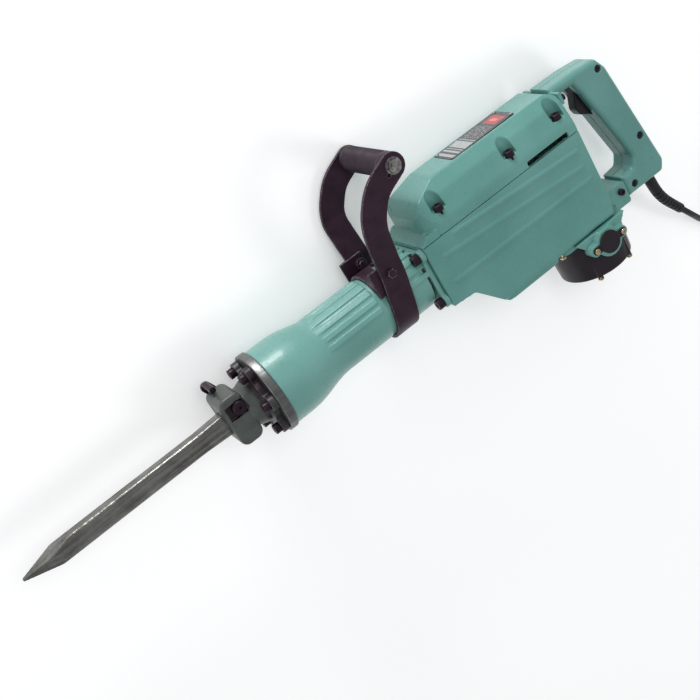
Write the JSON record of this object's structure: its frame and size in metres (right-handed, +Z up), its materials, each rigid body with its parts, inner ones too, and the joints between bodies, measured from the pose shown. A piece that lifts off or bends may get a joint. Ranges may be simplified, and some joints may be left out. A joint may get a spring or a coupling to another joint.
{
  "type": "electric jackhammer",
  "caption": "Electric demolition hammer with bull-point bit, finned barrel, transverse motor drum, rear D-handle with trigger, swivelling side handle, cord coil and plug.",
  "frame": {"origin": "centre of the box around the tool without its cord, at its lowest point; the tool lies on its far side, on the end of the side handle's bolt", "axes": "+X from the bit's point to the rear handle, +Y towards the nameplate and the side grip, +Z up, which is the side away from the surface"},
  "size_m": [1.313, 0.508, 0.148],
  "materials": {
    "green_enamel": "semi-gloss enamel with a slight orange peel",
    "handle_enamel": "semi-gloss",
    "dark_casting": "oiled dark casting",
    "ground_steel": "ground",
    "forged_steel": "forged and worn, with ground facets",
    "black_steel": "black oxide, worn at the edges",
    "bright_steel": "bright zinc",
    "brass_screws": "bright",
    "black_plastic": "fine grain",
    "grip_rubber": "ribbed",
    "cord_rubber": "smooth",
    "plate_aluminium": "printed plate",
    "core_steel": "laminated, varnished",
    "copper": "turned copper",
    "carbon": "pressed carbon"
  },
  "bodies": {
    "hammer_body": {"barrel_bolts": "black_steel", "barrel_case": "green_enamel", "brush_cap_screws": "brass_screws", "brush_caps": "black_plastic", "brush_holders": "black_plastic", "brush_spring_far": "ground_steel", "brush_spring_near": "ground_steel", "cord": "cord_rubber", "cord_armor": "cord_rubber", "cord_coil": "cord_rubber", "crank_bearings": "ground_steel", "crank_case": "green_enamel", "cylinder": "ground_steel", "damper_ring": "grip_rubber", "front_cover": "dark_casting", "front_cover_bolts": "black_steel", "front_ring": "ground_steel", "gear_cover": "green_enamel", "gear_cover_bolts": "black_steel", "hammer_holder": "ground_steel", "handle_half_far": "handle_enamel", "handle_half_near": "handle_enamel", "handle_mount_bolts": "black_steel", "handle_screws": "brass_screws", "hex_bushing": "ground_steel", "intermediate_bearings": "ground_steel", "motor_bearings": "ground_steel", "motor_housing": "green_enamel", "motor_housing_screws": "brass_screws", "nameplate": "plate_aluminium", "nameplate_rivets": "brass_screws", "plug": "cord_rubber", "stator": "core_steel", "switch_body": "black_plastic", "tail_cover": "black_plastic", "tail_cover_screws": "brass_screws", "trigger_pin": "ground_steel"},
    "bit": {"bull_point": "forged_steel"},
    "stop_lever": {"stop_lever": "black_steel"},
    "second_hammer": {"second_hammer": "ground_steel"},
    "striker": {"striker": "ground_steel"},
    "piston": {"piston": "ground_steel", "piston_pin": "ground_steel"},
    "connecting_rod": {"connecting_rod": "ground_steel"},
    "armature": {"armature_shaft": "ground_steel", "armature_core": "core_steel", "commutator": "copper", "cooling_fan": "black_plastic"},
    "intermediate": {"intermediate_shaft": "ground_steel", "intermediate_gear": "ground_steel"},
    "crank": {"crank_shaft": "ground_steel", "final_gear": "ground_steel"},
    "brush_near": {"brush_near": "carbon"},
    "brush_far": {"brush_far": "carbon"},
    "trigger": {"trigger": "black_plastic"},
    "side_handle": {"side_handle_strap": "black_steel", "handle_saddle": "black_steel", "saddle_bolts": "black_steel", "grip_bolt": "bright_steel", "side_grip": "grip_rubber"}
  },
  "joints": [
    {"name": "bit_slide", "type": "slide", "parent": "hammer_body", "child": "bit", "axis": [-1, 0, 0], "range_m": [0, 0.02]},
    {"name": "stop_lever_turn", "type": "hinge", "parent": "hammer_body", "child": "stop_lever", "pos_m": [-0.18684, 0.006, 0.074], "axis": [0, 0, 1], "range_deg": [0, 60]},
    {"name": "second_hammer_slide", "type": "slide", "parent": "hammer_body", "child": "second_hammer", "axis": [1, 0, 0], "range_m": [0, 0.008]},
    {"name": "striker_slide", "type": "slide", "parent": "hammer_body", "child": "striker", "axis": [1, 0, 0], "range_m": [-0.0045, 0.03]},
    {"name": "piston_slide", "type": "slide", "parent": "hammer_body", "child": "piston", "axis": [1, 0, 0], "range_m": [0, 0.04]},
    {"name": "rod_swing", "type": "hinge", "parent": "piston", "child": "connecting_rod", "pos_m": [0.09316, -0.012, 0.074], "axis": [0, 1, 0], "range_deg": [-7.6, 7.6]},
    {"name": "armature_spin", "type": "hinge", "parent": "hammer_body", "child": "armature", "pos_m": [0.36991, -0.012, 0.074], "axis": [0, 1, 0], "continuous": true},
    {"name": "intermediate_spin", "type": "hinge", "parent": "hammer_body", "child": "intermediate", "pos_m": [0.31816, -0.012, 0.074], "axis": [0, 1, 0], "continuous": true},
    {"name": "crank_spin", "type": "hinge", "parent": "hammer_body", "child": "crank", "pos_m": [0.26316, -0.012, 0.074], "axis": [0, 1, 0], "continuous": true},
    {"name": "brush_near_slide", "type": "slide", "parent": "hammer_body", "child": "brush_near", "axis": [0, 0, 1], "range_m": [0, 0.006], "stiffness_N_per_m": 400, "springref_m": -0.01, "deforming": ["brush_spring_near"]},
    {"name": "brush_far_slide", "type": "slide", "parent": "hammer_body", "child": "brush_far", "axis": [0, 0, -1], "range_m": [0, 0.006], "stiffness_N_per_m": 400, "springref_m": -0.01, "deforming": ["brush_spring_far"]},
    {"name": "trigger_press", "type": "hinge", "parent": "hammer_body", "child": "trigger", "pos_m": [0.46416, 0.072, 0.074], "axis": [0, 0, 1], "range_deg": [0, 8], "stiffness_Nm_per_rad": 2, "springref_deg": -8.59},
    {"name": "side_handle_turn", "type": "hinge", "parent": "hammer_body", "child": "side_handle", "pos_m": [0.06016, -0.012, 0.074], "axis": [1, 0, 0], "range_deg": [-180, 180]}
  ],
  "couplings": [
    {"joint": "intermediate_spin", "follows": "armature_spin", "ratio": -0.27778},
    {"joint": "crank_spin", "follows": "armature_spin", "ratio": 0.085979}
  ]
}
